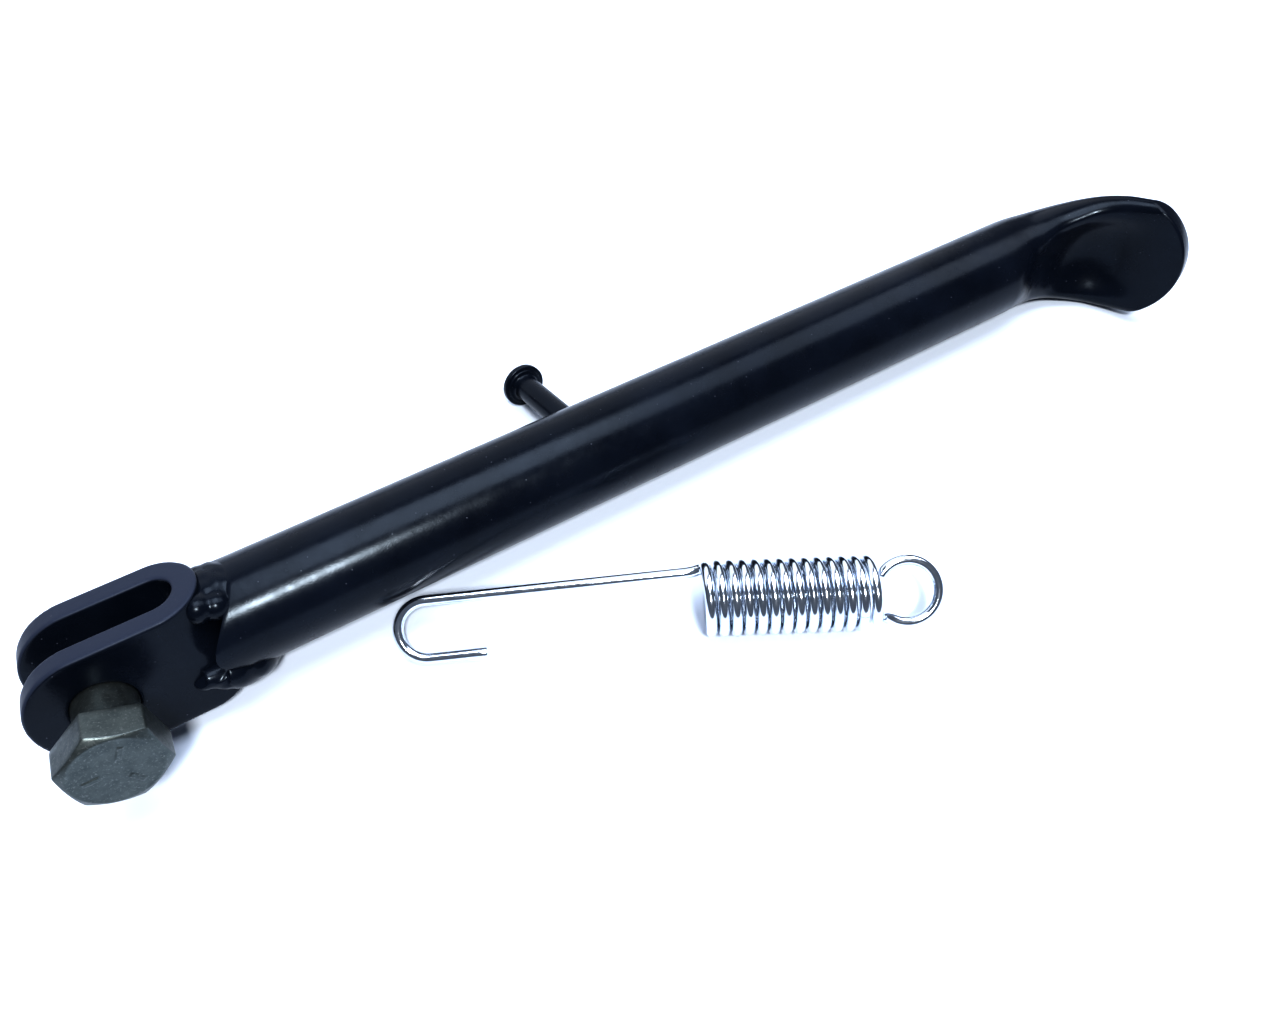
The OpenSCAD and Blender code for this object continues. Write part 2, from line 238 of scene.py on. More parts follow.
# ---- Materials ----------------------------------------------------------------------------------
class Nodes:
    """A short way to write a material's node tree."""

    def __init__(self, name):
        self.material = bpy.data.materials.new(name)
        self.material.use_nodes = True
        self.tree = self.material.node_tree
        self.shader = self.tree.nodes["Principled BSDF"]
        self.place = self.tree.nodes.new("ShaderNodeTexCoord").outputs["Object"]

    def noise(self, scale, detail=3.0, roughness=0.55, stretch=None):
        texture = self.tree.nodes.new("ShaderNodeTexNoise")
        texture.inputs["Scale"].default_value = scale
        texture.inputs["Detail"].default_value = detail
        texture.inputs["Roughness"].default_value = roughness
        source = self.place
        if stretch:
            mapping = self.tree.nodes.new("ShaderNodeMapping")
            mapping.inputs["Scale"].default_value = stretch
            self.tree.links.new(source, mapping.inputs["Vector"])
            source = mapping.outputs["Vector"]
        self.tree.links.new(source, texture.inputs["Vector"])
        return texture.outputs["Fac"]

    def spots(self, scale):
        texture = self.tree.nodes.new("ShaderNodeTexVoronoi")
        texture.inputs["Scale"].default_value = scale
        self.tree.links.new(self.place, texture.inputs["Vector"])
        return texture.outputs["Distance"]

    def ramp(self, value, low, high, start=0.0, end=1.0):
        """Maps value from start..end to low..high, which are numbers or colours."""
        colour = isinstance(low, tuple)
        if colour:
            node = self.tree.nodes.new("ShaderNodeValToRGB")
            node.color_ramp.elements[0].position = start
            node.color_ramp.elements[1].position = end
            node.color_ramp.elements[0].color = (*low, 1)
            node.color_ramp.elements[1].color = (*high, 1)
            self.tree.links.new(value, node.inputs["Fac"])
            return node.outputs["Color"]
        node = self.tree.nodes.new("ShaderNodeMapRange")
        for name, number in (("From Min", start), ("From Max", end), ("To Min", low), ("To Max", high)):
            node.inputs[name].default_value = number
        self.tree.links.new(value, node.inputs["Value"])
        return node.outputs["Result"]

    def attribute(self, name):
        node = self.tree.nodes.new("ShaderNodeAttribute")
        node.attribute_name = name
        return node.outputs["Fac"]

    def sum(self, a, b):
        node = self.tree.nodes.new("ShaderNodeMath")
        self.tree.links.new(a, node.inputs[0])
        self.tree.links.new(b, node.inputs[1])
        return node.outputs["Value"]

    def blend(self, factor, a, b):
        node = self.tree.nodes.new("ShaderNodeMix")
        node.data_type = "RGBA"
        self.tree.links.new(factor, node.inputs["Factor"])
        self.tree.links.new(a, node.inputs[6])
        if isinstance(b, tuple):
            node.inputs[7].default_value = (*b, 1)
        else:
            self.tree.links.new(b, node.inputs[7])
        return node.outputs[2]

    def set(self, **values):
        for name, value in values.items():
            socket = self.shader.inputs[name.replace("_", " ")]
            if hasattr(value, "links"):
                self.tree.links.new(value, socket)
            else:
                socket.default_value = value

    def bump(self, layers):
        """Stacks height layers given as (value, distance in metres, strength)."""
        below = None
        for value, distance, strength in layers:
            node = self.tree.nodes.new("ShaderNodeBump")
            node.inputs["Distance"].default_value = distance
            node.inputs["Strength"].default_value = strength
            self.tree.links.new(value, node.inputs["Height"])
            if below:
                self.tree.links.new(below, node.inputs["Normal"])
            below = node.outputs["Normal"]
        self.tree.links.new(below, self.shader.inputs["Normal"])


def black_paint():
    """Semi-gloss black paint: a faint blue tint, orange peel, and specks of dust in the film.

    Along the ears' rims the shear-cut edge is rough under the paint and spreads the light, and the paint
    there is also lighter in colour: a painted highlight on the rim."""
    m = Nodes("black_paint")
    cloud = m.noise(70, 4)
    tint = m.ramp(cloud, (0.0014, 0.0026, 0.0062), (0.0034, 0.0056, 0.0115), 0.35, 0.7)
    dust = m.ramp(m.spots(420), 1.0, 0.0, 0.03, 0.07)
    rim_rough_and_highlight = m.attribute("rim_rough_and_highlight")
    # Painted highlight: the band along the ears' rims is lighter in colour.
    tint = m.blend(rim_rough_and_highlight, tint, (0.018, 0.023, 0.040))
    m.set(Base_Color=m.blend(dust, tint, (0.04, 0.045, 0.06)))
    film = m.ramp(m.noise(260, 5, 0.65), 0.18, 0.29, 0.3, 0.7)
    m.set(Roughness=m.sum(film, m.ramp(rim_rough_and_highlight, 0.0, 0.22)))
    m.set(IOR=1.5, Specular_IOR_Level=0.17, Specular_Tint=(0.74, 0.87, 1.0, 1))
    m.bump([(m.noise(520, 2), 0.00006, 0.35), (m.noise(2600, 3, 0.6), 0.00002, 0.5), (dust, 0.00004, 0.4)])
    return m.material


def bolt_steel():
    """Oiled phosphate on forged steel: dull olive grey, mottled and grainy."""
    m = Nodes("bolt_steel")
    mottle = m.ramp(m.noise(330, 6, 0.7), (0.048, 0.060, 0.063), (0.092, 0.108, 0.108), 0.3, 0.72)
    grit = m.ramp(m.noise(2300, 3, 0.7), 0.0, 1.0, 0.56, 0.72)
    m.set(Base_Color=m.blend(grit, mottle, (0.15, 0.165, 0.165)))
    m.set(Metallic=0.85, Roughness=m.ramp(m.noise(700, 5, 0.7), 0.30, 0.46, 0.3, 0.7))
    m.bump([(m.noise(900, 4, 0.6), 0.00006, 0.5), (m.noise(4200, 3, 0.7), 0.00002, 0.6)])
    return m.material


def bright_zinc():
    """Bright zinc plate on drawn wire: bluish white, with faint haze and drawing marks."""
    m = Nodes("bright_zinc")
    haze = m.noise(240, 5, 0.6)
    m.set(Base_Color=m.ramp(haze, (0.60, 0.66, 0.74), (0.78, 0.83, 0.90), 0.3, 0.7))
    m.set(Metallic=1.0, Roughness=m.ramp(m.noise(900, 4, 0.7), 0.07, 0.19, 0.3, 0.75))
    m.bump([(m.noise(1500, 3, 0.6), 0.00002, 0.25), (m.noise(5000, 2, 0.6), 0.00001, 0.3)])
    return m.material


PAINT, STEEL, ZINC = black_paint(), bolt_steel(), bright_zinc()


# ---- Leg tube and pressed foot ------------------------------------------------------------------
RING_SIDE = 32
RING_N = 4 * RING_SIDE
BEND_LEN = BEND_R * BEND_ANGLE


def pressed(s):
    """How far the tube is pressed flat at a distance s past the start of its bend, from 0 to 1."""
    return float(ease((s - PRESS_START) / (PRESS_END - PRESS_START)))


def bend_heading(s):
    return min(max(s, 0.0), BEND_LEN) / BEND_R


def bend_point(s):
    h = bend_heading(s)
    past = max(s - BEND_LEN, 0.0)
    return (BEND_START + min(s, 0.0) + BEND_R * math.sin(h) + past * math.cos(h),
            -BEND_R * (1 - math.cos(h)) - past * math.sin(h))


def round_outline(radius):
    """Points of a circle as (across, through), starting a quarter before the right-hand side."""
    angles = (np.arange(RING_N) - RING_SIDE / 2) * TAU / RING_N
    return np.stack([radius * np.cos(angles), radius * np.sin(angles)], axis=1)


def oval_outline(half_w, half_t):
    """Points of a flat oval, with round edges, in the same order as round_outline."""
    out = []
    core = half_w - half_t
    for i in range(RING_N):
        side, k = divmod(i, RING_SIDE)
        k /= RING_SIDE
        turn = math.pi * k - math.pi / 2
        if side == 0:
            out.append((core + half_t * math.cos(turn), half_t * math.sin(turn)))
        elif side == 1:
            out.append((core - 2 * core * k, half_t))
        elif side == 2:
            out.append((-core - half_t * math.cos(turn), -half_t * math.sin(turn)))
        else:
            out.append((-core + 2 * core * k, -half_t))
    return np.array(out)


def pressed_in(s, share):
    """How far the press sinks the inner face, at a share of the half width, between its two raised folds."""
    fold_start, fold_share, fold_width, crown = 12, 0.74, 0.2, 2.2
    sink = DENT_DEPTH * ease((s - DENT_START) / 15) * ease((DENT_END - s) / 26)
    fold = FOLD_H * ease((s - fold_start) / 8) * ease((DENT_END - 2 - s) / 12)
    ridge = np.exp(-((np.abs(share) - fold_share) / fold_width) ** 2)
    return sink * np.clip(1 - share ** 2, 0, 1) ** crown - fold * ridge


def foot_ring(s):
    """The leg's outline at a distance s past the start of its bend, pressed flatter as s grows."""
    f = pressed(s)
    outline = round_outline(TUBE_R) * (1 - f) + oval_outline(SOLE_HALF_W, TUBE_WALL) * f
    half_w = TUBE_R + (SOLE_HALF_W - TUBE_R) * f
    half_t = TUBE_R + (TUBE_WALL - TUBE_R) * f
    across, through = outline[:, 0], outline[:, 1].copy()
    through -= np.where(through > 0, pressed_in(s, across / half_w), 0)
    u = through + OUTER_SHARE * (half_t - TUBE_R)
    h = bend_heading(s)
    x, y = bend_point(s)
    return np.stack([x - u * math.sin(h), y - u * math.cos(h), across], axis=1)


def sole_ring(along_share, inset):
    """A ring of the flat sole, at a share of the way to its toe, shrunk by inset at its rim."""
    x, y = bend_point(PRESS_END)
    corner = BEND_LEN + SOLE_FLAT - PRESS_END
    toe_r = (SOLE_HALF_W ** 2 + TOE_REACH ** 2) / (2 * TOE_REACH)
    outline = oval_outline(SOLE_HALF_W - inset, TUBE_WALL - inset)
    across = outline[:, 0]
    toe_x = corner + TOE_REACH - toe_r + np.sqrt(toe_r ** 2 - across ** 2)
    along = toe_x * along_share
    if along_share == 1:
        along = along - TOE_EDGE + math.sqrt(max(TOE_EDGE ** 2 - (TOE_EDGE - inset) ** 2, 0))
    else:
        along = np.minimum(along, toe_x - TOE_EDGE)
    relief = np.where(outline[:, 1] > 0, pressed_in(PRESS_END + along, across / SOLE_HALF_W), 0)
    u = outline[:, 1] - relief + OUTER_SHARE * (TUBE_WALL - TUBE_R)
    sin_h, cos_h = math.sin(BEND_ANGLE), math.cos(BEND_ANGLE)
    return np.stack([x + along * cos_h - u * sin_h, y - along * sin_h - u * cos_h, across], axis=1)


def mouth_ring(radius, push=0.0):
    """Where a tube of this radius meets the saddle cut, pushed along the leg."""
    outline = round_outline(radius)
    across, through = outline[:, 0], outline[:, 1]
    x = SADDLE_X + np.sqrt(SADDLE_R ** 2 - through ** 2) + push
    return np.stack([x, -through, across], axis=1)


def straight_ring(radius, x):
    ring = mouth_ring(radius)
    ring[:, 0] = x
    return ring


def leg_rings():
    """From the blind end of the bore, out over the rim at the tube's mouth, and along the leg to its toe."""
    bore_end, straight_start = 70, 36
    rings = [straight_ring(BORE_R, bore_end), straight_ring(BORE_R, 40), mouth_ring(BORE_R, 2.0)]
    for turn in np.linspace(0, math.pi / 2, 4):
        step_out, step_in = RIM_EDGE * (1 - math.cos(turn)), RIM_EDGE * (1 - math.sin(turn))
        rings.append(mouth_ring(BORE_R + step_out, step_in))
    for turn in np.linspace(0, math.pi / 2, 4):
        step_in, step_back = RIM_EDGE * (1 - math.sin(turn)), RIM_EDGE * (1 - math.cos(turn))
        rings.append(mouth_ring(TUBE_R - step_in, step_back))
    start = mouth_ring(TUBE_R, 1.2)
    end = straight_ring(TUBE_R, straight_start)
    rings += [start * (1 - t) + end * t for t in np.linspace(0, 1, 10)]
    rings += [straight_ring(TUBE_R, x) for x in np.linspace(straight_start + 6, BEND_START + DENT_START, 46)]
    rings += [foot_ring(s) for s in np.linspace(DENT_START + 0.6, PRESS_END, 72)]
    rings += [sole_ring(share, 0) for share in np.linspace(0.06, 0.94, 16)]
    for turn in np.linspace(0, math.pi / 2, 5):
        rings.append(sole_ring(1, TOE_EDGE * (1 - math.cos(turn))))
    return rings


def bridge_cap(ring_start):
    """Closes a flat oval ring with strips between its two faces, so that a curved toe stays curved."""
    faces = []
    half = RING_SIDE // 2
    mirror = lambda i: ring_start + (RING_SIDE - i) % RING_N
    for i in range(half, half + RING_N // 2):
        loop = [ring_start + i % RING_N, ring_start + (i + 1) % RING_N, mirror(i + 1), mirror(i)]
        faces.append(tuple(dict.fromkeys(loop)))
    return [f for f in faces if len(f) > 2]


def build_leg():
    rings = leg_rings()
    points, faces = loft(rings)
    last = (len(rings) - 1) * RING_N
    faces = [f for f in faces if len(rings) * RING_N + 1 not in f]
    faces += bridge_cap(last)
    piece("leg_tube_body", place(points[:-1]), faces, "leg", ["leg_tube"], PAINT)


# ---- Fork bracket -------------------------------------------------------------------------------
def arc(centre, radius, start, end, steps):
    angles = np.linspace(start, end, steps)
    return [(centre[0] + radius * math.cos(a), centre[1] + radius * math.sin(a)) for a in angles]


def prism(name, outline, axis, low, high):
    """An outline in XY drawn out along Z, or in XZ drawn out along Y."""
    n = len(outline)
    if axis == "Z":
        points = [(x, y, low) for x, y in outline] + [(x, y, high) for x, y in outline]
    else:
        points = [(x, low, z) for x, z in outline] + [(x, high, z) for x, z in outline]
    faces = [(i, (i + 1) % n, n + (i + 1) % n, n + i) for i in range(n)]
    obj = make_mesh(name, points, faces + [tuple(range(n))[::-1], tuple(range(n, 2 * n))])
    outward(obj)
    return obj


def combine(base, tool, operation):
    modifier = base.modifiers.new(operation, "BOOLEAN")
    modifier.object = tool
    modifier.operation = operation
    modifier.solver = "EXACT"


def settled(obj, tools):
    """The mesh of an object with its modifiers worked in. The object and its tools are removed."""
    bpy.context.view_layer.update()
    shaped = obj.evaluated_get(bpy.context.evaluated_depsgraph_get())
    mesh = bpy.data.meshes.new_from_object(shaped)
    points = np.array([v.co for v in mesh.vertices])
    faces = [tuple(p.vertices) for p in mesh.polygons]
    for extra in [obj, *tools]:
        bpy.data.objects.remove(extra)
    return points, faces


def even_skin(obj, voxel, steps):
    """Gives an object one even skin of small faces and wears down its sharp edges in a number of steps."""
    remesh = obj.modifiers.new("even_skin", "REMESH")
    remesh.mode = "VOXEL"
    remesh.voxel_size = voxel
    smooth = obj.modifiers.new("worn_edges", "SMOOTH")
    smooth.factor = 0.5
    smooth.iterations = steps


def build_bracket():
    """The strip bent into a fork, with bored ears, and its edges softened by paint and tumbling."""
    reach = EAR_R + 3
    round_end = TAU * 95 / 96
    plan = [(-reach, -FORK_HALF_W)] + arc((FORK_BEND_X, 0), FORK_HALF_W, -math.pi / 2, math.pi / 2, 64)
    plan += [(-reach, FORK_HALF_W), (-reach, SLOT_W / 2)]
    plan += arc((FORK_BEND_X, 0), SLOT_W / 2, math.pi / 2, -math.pi / 2, 48) + [(-reach, -SLOT_W / 2)]
    back = FORK_BEND_X + FORK_HALF_W + 2
    side = [(back, -EAR_R), (back, EAR_R)] + arc((0, 0), EAR_R, math.pi / 2, 3 * math.pi / 2, 96)
    near_r, far_r = SHOULDER_R + RUNNING_GAP, THREAD_R + RUNNING_GAP
    base = prism("fork_plan", plan, "Z", -EAR_R - 2, EAR_R + 2)
    tools = [
        prism("fork_side", side, "Y", -FORK_HALF_W - 2, FORK_HALF_W + 2),
        prism("near_bore", arc((0, 0), near_r, 0, round_end, 96), "Y", -FORK_HALF_W - 3, 0),
        prism("far_bore", arc((0, 0), far_r, 0, round_end, 96), "Y", 0, FORK_HALF_W + 3),
    ]
    for tool, operation in zip(tools, ("INTERSECT", "DIFFERENCE", "DIFFERENCE")):
        combine(base, tool, operation)
    even_skin(base, 0.27, 26)
    points, faces = settled(base, tools)
    # The band along the ears' rims, which the paint makes rougher and lighter in colour as a painted
    # highlight.
    reach_out = np.where(points[:, 0] < 0, np.hypot(points[:, 0], points[:, 2]), np.abs(points[:, 2]))
    edge_band, fade = 0.55, 0.35
    rim_rough_and_highlight = ease((reach_out - EAR_R + edge_band) / fade)
    piece("fork_bracket_body", place(points), faces, "leg", ["fork_bracket"], PAINT, rim_rough_and_highlight)


# ---- Welds --------------------------------------------------------------------------------------
WELD_VOXEL = 0.2
TOP_SPAN, BOTTOM_SPAN, MOUTH_SPAN = (58, 131), (-158, -31), (-152, -31)  # degrees round the leg


def weld_bead(angles, share, ring_r, bead_r, ripples, seed):
    """A bead between two angles, at a share of the way from the bracket's back to the tube's mouth."""
    steps, wander_size = 150, 0.13
    start, end = np.radians(angles)
    lumps = np.random.default_rng(seed).uniform(-1, 1, 5)
    path, radii = [], []
    for t in np.linspace(0, 1, steps):
        a = start + (end - start) * t
        wander = sum(l * math.sin((k + 1) * TAU * t + k) for k, l in enumerate(lumps)) * wander_size
        y = ring_r * math.cos(a)
        bend_back = FORK_BEND_X + math.sqrt(max(FORK_HALF_W ** 2 - y * y, 0))
        mouth = SADDLE_X + math.sqrt(SADDLE_R ** 2 - y * y)
        x = bend_back + (mouth - bend_back) * share
        path.append((x + wander, y, ring_r * math.sin(a)))
        swell = 1 + 0.04 * (abs(math.sin(math.pi * ripples * t)) - 0.5) + 0.03 * wander
        taper = 0.55 + 0.45 * ease(min(t, 1 - t) / 0.12)
        radii.append(bead_r * swell * taper)
    return swept(path, radii, 40, (1, 0, 0))


def ball(centre, radius):
    """A round lump where a weld was stopped."""
    profile = [(radius * math.sin(a), -radius * math.cos(a)) for a in np.linspace(0.05, math.pi - 0.05, 20)]
    points, faces = turned(profile, 32)
    return points + centre, faces


def build_weld(name, node, parts, steps):
    """Melts the parts of a weld into one skin, in a number of steps."""
    points, faces = [], []
    for part_points, part_faces in parts:
        faces += [tuple(i + len(points) for i in f) for f in part_faces]
        points += [tuple(p) for p in part_points]
    base = make_mesh("weld_parts", points, faces)
    outward(base)
    even_skin(base, WELD_VOXEL, steps)
    points, faces = settled(base, [])
    piece(name, place(points), faces, "leg", [node], PAINT)


def build_fork_welds():
    """Each run is three beads side by side. The upper one ends, on the bolt's side, in two lumps."""
    top = [weld_bead(TOP_SPAN, 0.12, 9.2, 2.6, 4, 3), weld_bead(TOP_SPAN, 0.5, 8.8, 2.8, 3, 4),
           weld_bead(TOP_SPAN, 0.9, 8.5, 2.5, 4, 7),
           ball((20.9, -5.0, 9.0), 2.9), ball((23.9, -5.1, 8.0), 2.8)]
    build_weld("fork_weld_top_bead", "fork_weld_top", top, 26)
    bottom = [weld_bead(BOTTOM_SPAN, 0.1, 9.6, 3.1, 3, 5), weld_bead(BOTTOM_SPAN, 0.5, 10.0, 3.5, 2, 6),
              weld_bead(MOUTH_SPAN, 0.95, 9.9, 3.2, 3, 8)]
    build_weld("fork_weld_bottom_bead", "fork_weld_bottom", bottom, 16)


def build_peg_weld():
    """A small fillet of weld round the foot of the peg, following the tube's surface."""
    sides, steps, width, height, root = 72, 9, 2.1, 1.7, 0.35
    axes = peg_axes()
    rings = []
    for j in range(steps):
        t = j / (steps - 1)
        ring = []
        for i in range(sides):
            a = TAU * i / sides
            lump = 1 + 0.10 * math.sin(5 * a + 0.7) + 0.05 * math.sin(11 * a)
            spread = PEG_R - 0.3 + width * lump * (1 - math.sin(t * math.pi / 2))
            lift = height * lump * (1 - math.cos(t * math.pi / 2)) - root
            local = axes @ np.array((spread * math.cos(a), spread * math.sin(a), 0)) + (PEG_X, 0, 0)
            outside = math.sqrt(max(TUBE_R ** 2 - local[2] ** 2, 0)) - local[1]
            depth = outside / axes[1, 2]
            ring.append(local + axes[:, 2] * (depth + lift))
        rings.append(ring)
    points, faces = loft([np.array(r) for r in rings])
    piece("peg_weld_fillet", place(points), faces, "leg", ["peg_weld"], PAINT)


# ---- Spring peg ---------------------------------------------------------------------------------
def peg_axes():
    """Columns are the peg's two cross directions and its own direction, away from the leg."""
    direction = np.array((-math.sin(PEG_LEAN), math.cos(PEG_LEAN), 0))
    return np.stack([np.array((0, 0, 1.0)), np.cross(direction, (0, 0, 1.0)), direction], axis=1)


def build_peg():
    step_r, step_h, root = PEG_R + 1.15, 0.28, BORE_R - 1.2
    profile = rounded([
        (0.01, root), (PEG_R, root), (PEG_R, PEG_L - 1.0), (PEG_R + 0.35, PEG_L - 0.3),
        (step_r, PEG_L - step_h), (step_r + 0.12, PEG_L), (FLANGE_R, PEG_L),
        (FLANGE_R, PEG_L + FLANGE_T), (0.01, PEG_L + FLANGE_T)], 0.4)
    points, faces = turned(profile, 96)
    points = points @ peg_axes().T + (PEG_X, 0, 0)
    piece("spring_peg_pin", place(points), faces, "leg", ["spring_peg"], PAINT)


# ---- Pivot bolt ---------------------------------------------------------------------------------
HEAD_SEAT_Y = -FORK_HALF_W - BOLT_OUT
HEAD_TURN = math.radians(35.2)  # how far the head has been screwed round


def hexagon(angles, corner_r):
    """Distance from the axis to the head's six sides, with its corners rounded off."""
    corner_loss, sharpness = 0.1547, 9
    across = np.abs((angles + TAU / 12) % (TAU / 6) - TAU / 12)
    flat = HEAD_AF / 2 / np.cos(across)
    tip = HEAD_AF / math.sqrt(3) - corner_r * corner_loss
    return -np.log(np.exp(-flat * sharpness) + np.exp(-tip * sharpness * np.ones_like(flat))) / sharpness


def head_marks(x, y):
    """Height of three plain raised bars on the head, which stand for its stamped marks."""
    height = np.zeros_like(x)
    bar_r, bar_half_l, bar_half_w, edge, lift = 4.0, 1.25, 0.32, 0.3, 0.16
    for k in range(3):
        a = TAU * k / 3 + 0.4
        along = x * math.cos(a) + y * math.sin(a) - bar_r
        across = -x * math.sin(a) + y * math.cos(a)
        outside = np.maximum(np.abs(along) - bar_half_l, np.abs(across) - bar_half_w)
        height = np.maximum(height, lift * (1 - ease(outside / edge)))
    return height


def head_rings():
    """Rings of the head as (x, y, height above its seat), from the washer face to the middle of its top."""
    sides = 288
    angles = np.arange(sides) * TAU / sides
    hexa = hexagon(angles + TAU / 12, 0.5)
    flat_r, slope = HEAD_AF / 2 - 0.55, math.tan(math.radians(30))
    side_foot, top_sink = WASHER_H + 0.28, 0.06
    chamfer_h = HEAD_H - (hexa - flat_r) * slope
    rows = [(np.full(sides, 3.0), 0.0), (np.full(sides, flat_r - 0.1), 0.0), (np.full(sides, flat_r), 0.1),
            (np.full(sides, flat_r), WASHER_H), (hexa - 0.3, WASHER_H), (hexa - 0.08, WASHER_H + 0.06),
            (hexa, side_foot)]
    rows += [(hexa, side_foot + (chamfer_h - WASHER_H - 0.5) * t) for t in (0.25, 0.5, 0.75, 1.0)]
    rows += [(hexa - 0.03, chamfer_h - 0.08), (hexa - 0.13, chamfer_h + 0.06)]
    for t in (0.3, 0.6, 0.85):
        radius = (hexa - 0.13) * (1 - t) + flat_r * t
        rows.append((radius, HEAD_H - (radius - flat_r) * slope))
    rows += [(np.full(sides, flat_r - 0.02), HEAD_H - 0.02), (np.full(sides, flat_r - 0.2), HEAD_H)]
    rings = [level_ring(angles, radius, height) for radius, height in rows]
    for radius in np.linspace(flat_r - 0.45, 0.1, 42):
        x, y = radius * np.cos(angles), radius * np.sin(angles)
        rings.append(level_ring(angles, radius, HEAD_H - top_sink + head_marks(x, y)))
    return rings


def shank_rings():
    """Rings of the shank as (x, y, distance from the head's seat): a plain shoulder, a neck and a thread."""
    sides = 96
    angles = np.arange(sides) * TAU / sides
    neck_r = THREAD_R - 0.6
    plain = rounded([(SHOULDER_R + 0.6, -0.3), (SHOULDER_R + 0.05, 0.4), (SHOULDER_R, 0.8),
                     (SHOULDER_R, SHOULDER_L), (neck_r, SHOULDER_L), (neck_r, SHOULDER_L + 1)], 0.3)
    rings = [level_ring(angles, radius, height) for radius, height in plain]
    depth, steps = 0.85, 190
    first, last = SHOULDER_L + 1.05, SHOULDER_L + THREAD_L
    for height in np.linspace(first, last, steps):
        phase = ((height - first) / THREAD_PITCH + angles / TAU) % 1.0
        groove = np.clip(1.25 - np.abs(phase - 0.5) * 3.0, 0, 1)
        run_in = min((height - first) / 1.2, 1.0)
        crest = THREAD_R - max(0.0, height - (last - 0.9)) - 0.6 * (1 - run_in)
        radius = np.minimum(crest, THREAD_R - depth * groove * run_in)
        rings.append(level_ring(angles, radius, height))
    return rings


def build_bolt():
    """The head faces -Y and the shank runs along +Y."""
    head, head_faces = loft(head_rings())
    turn = np.array(Matrix.Rotation(HEAD_TURN, 3, "Z"))
    head = head @ turn.T
    head = np.stack([head[:, 0], HEAD_SEAT_Y - head[:, 2], head[:, 1]], axis=1)
    shank, shank_faces = loft(shank_rings())
    shank = np.stack([shank[:, 0], HEAD_SEAT_Y + shank[:, 2], -shank[:, 1]], axis=1)
    faces = head_faces + [tuple(i + len(head) for i in f) for f in shank_faces]
    points = np.concatenate([head, shank])
    piece("pivot_bolt_m10", place(points), faces, "pivot_bolt", ["pivot_bolt"], STEEL)


# ---- Return spring ------------------------------------------------------------------------------
STEPS_A_TURN, WIRE_SIDES = 60, 22
SPLIT_FIRST, SPLIT_LAST = FIRST_ANGLE + TAU, LAST_ANGLE - TAU


def coil_point(a):
    x = WIRE_R + (a - FIRST_ANGLE) / TAU * COIL_PITCH
    return np.array((x, COIL_R * math.cos(a), COIL_R * math.sin(a)))


def coil_direction(a):
    return np.array((COIL_PITCH / (TAU * COIL_R), -math.sin(a), math.cos(a)))


def coil_arc(start, end):
    count = round((end - start) / TAU * STEPS_A_TURN)
    return [coil_point(a) for a in np.linspace(start, end, count + 1)]


def bezier(p0, d0, p1, d1, steps=18):
    out = []
    for t in np.linspace(0, 1, steps + 1)[1:-1]:
        q = 1 - t
        out.append(q ** 3 * p0 + 3 * q * q * t * (p0 + d0) + 3 * q * t * t * (p1 - d1) + t ** 3 * p1)
    return out


def wire(name, node, path, body, cut_start=False, cut_end=False):
    """A length of spring wire. A cut end is dressed to a slight round."""
    path = [np.asarray(p, float) for p in path]
    radii = [WIRE_R] * len(path)
    dressing = ((0.0, 0.82), (0.08, 0.94), (0.22, 1.0))
    if cut_start:
        ahead = (path[1] - path[0]) / np.linalg.norm(path[1] - path[0])
        path = [path[0] + ahead * d for d, _ in dressing] + path[1:]
        radii = [WIRE_R * r for _, r in dressing] + radii[1:]
    if cut_end:
        back = (path[-2] - path[-1]) / np.linalg.norm(path[-2] - path[-1])
        path = path[:-1] + [path[-1] + back * d for d, _ in reversed(dressing)]
        radii = radii[:-1] + [WIRE_R * r for _, r in reversed(dressing)]
    side = (0, 0, 1) if cut_start else (1, 0, 0)  # not along the wire's first step
    points, faces = swept(path, radii, WIRE_SIDES, side)
    return piece(name, place_spring(points), faces, body, [node], ZINC)


def build_eye_end():
    middle_x = coil_point(LAST_ANGLE)[0] + EYE_STEP_OUT
    ring = lambda a: np.array((middle_x + EYE_R * math.cos(a), EYE_R * math.sin(a), 0))
    ring_direction = np.array((-math.sin(EYE_FIRST), math.cos(EYE_FIRST), 0))
    path = coil_arc(SPLIT_LAST, LAST_ANGLE)
    path += bezier(coil_point(LAST_ANGLE), coil_direction(LAST_ANGLE) * 4,
                   ring(EYE_FIRST), ring_direction * 4)
    path += [ring(a) for a in np.linspace(EYE_FIRST, EYE_LAST, 56)]
    wire("spring_eye_wire", "spring_eye_end", path, "spring", cut_end=True)


def build_hook_end():
    along = np.array((-math.cos(HOOK_SLOPE), -math.sin(HOOK_SLOPE), 0))
    across = np.array((math.sin(HOOK_SLOPE), -math.cos(HOOK_SLOPE), 0))
    middle = HOOK_START + HOOK_WIRE_L * along + HOOK_R * across
    end = middle + HOOK_R * across
    path = [end - HOOK_END_L * along * (1 - t) for t in np.linspace(0, 1, 8)]
    path += [middle + HOOK_R * (math.sin(a) * across + math.cos(a) * along)
             for a in np.linspace(math.pi / 2, -math.pi / 2, 40)[1:]]
    straight_end = path[-1]
    path += [straight_end + (HOOK_START - straight_end) * t for t in np.linspace(0, 1, 30)[1:]]
    path += bezier(HOOK_START, -along * 4, coil_point(FIRST_ANGLE), coil_direction(FIRST_ANGLE) * 2.5)
    path += coil_arc(FIRST_ANGLE, SPLIT_FIRST)
    wire("spring_hook_wire", "spring_hook_end", path, "spring_hook", cut_start=True)


def build_coil():
    coil = wire("spring_coil_wire", "spring_coil", coil_arc(SPLIT_FIRST, SPLIT_LAST), None)
    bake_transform(coil)


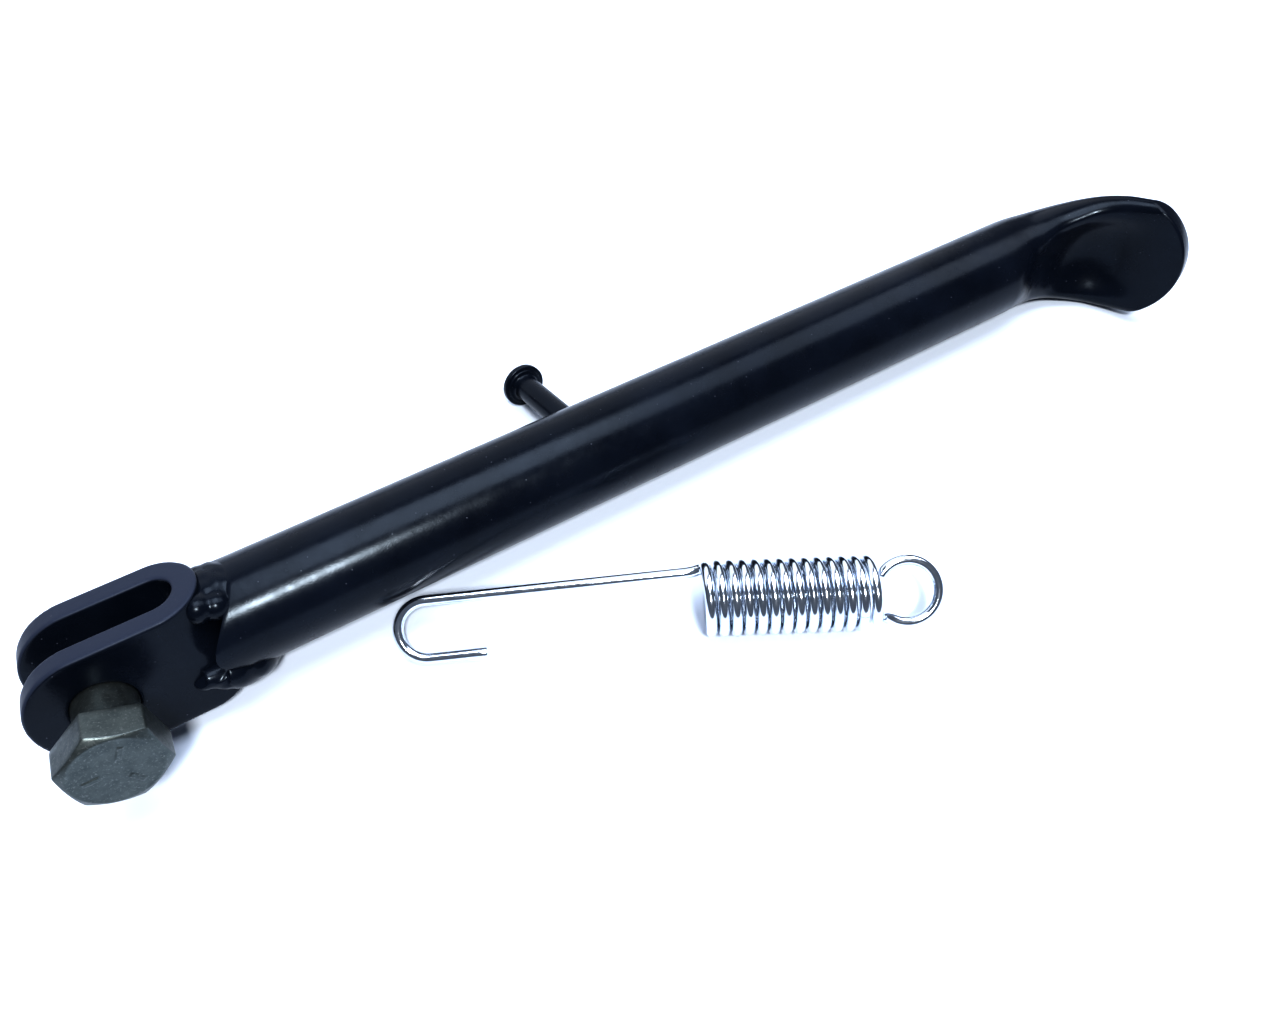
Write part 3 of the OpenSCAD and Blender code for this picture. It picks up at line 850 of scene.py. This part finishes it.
# ---- Floor, light and camera --------------------------------------------------------------------
def build_floor():
    half, z = 2.5, floor_z
    floor = make_mesh("floor", [(-half, -half, z), (half, -half, z), (half, half, z), (-half, half, z)],
                      [(0, 1, 2, 3)])
    m = Nodes("floor_white")
    m.set(Base_Color=(0.57, 0.63, 0.73, 1), Roughness=0.5)
    floor.data.materials.append(m.material)


def area_light(name, at, target, size, power, colour):
    data = bpy.data.lights.new(name, "AREA")
    data.shape = "RECTANGLE"
    data.size, data.size_y = size
    data.energy = power
    data.color = colour
    lamp = bpy.data.objects.new(name, data)
    lamp.location = at
    lamp.rotation_euler = (Vector(target) - Vector(at)).to_track_quat("-Z", "Y").to_euler()
    bpy.context.collection.objects.link(lamp)


def build_lights():
    """A small bright softbox on the near side, two wide ones overhead, and a pale card on the far side."""
    cool = (0.86, 0.91, 1.0)
    world = bpy.data.worlds.new("studio")
    world.use_nodes = True
    background = world.node_tree.nodes["Background"]
    background.inputs["Color"].default_value = (0.72, 0.82, 1.0, 1)
    background.inputs["Strength"].default_value = 0.22
    bpy.context.scene.world = world
    area_light("softbox", (0.0, -0.44, 0.68), (0.05, 0, 0), (0.13, 0.13), 10.5, (1.0, 0.99, 0.97))
    area_light("overhead", (0.155, 0.07, 0.74), (0.155, 0, 0), (0.42, 0.5), 6.6, cool)
    area_light("overhead_far", (0.62, 0.05, 0.70), (0.40, 0, 0), (0.5, 0.6), 4.5, cool)
    area_light("card", (0.1, 1.1, 0.60), (0.1, 0, 0.1), (2.4, 1.2), 13.0, (0.90, 0.94, 1.0))


PHOTO_CONTRAST = 0.75  # the view's gamma, which brings the dark tones down to the photo's


def build_camera():
    """The camera looks down at the table from the bolt's side, close by, with a wide lens."""
    target = Vector((0.10908, -0.0110, floor_z))
    azimuth, elevation, distance, lens = math.radians(30.90), math.radians(55.60), 0.20827, 25.93
    towards = Vector((math.sin(azimuth) * math.cos(elevation), math.cos(azimuth) * math.cos(elevation),
                      -math.sin(elevation)))
    data = bpy.data.cameras.new("camera")
    data.lens = lens
    data.clip_start = 0.01
    camera = bpy.data.objects.new("camera", data)
    camera.location = target - towards * distance
    camera.rotation_euler = towards.to_track_quat("-Z", "Y").to_euler()
    bpy.context.collection.objects.link(camera)
    bpy.context.scene.camera = camera
    bpy.context.scene.view_settings.view_transform = "Standard"
    bpy.context.scene.view_settings.gamma = PHOTO_CONTRAST


build_camera()
build_floor()
build_lights()
build_leg()
build_bracket()
build_fork_welds()
build_peg()
build_peg_weld()
build_bolt()
build_eye_end()
build_coil()
build_hook_end()
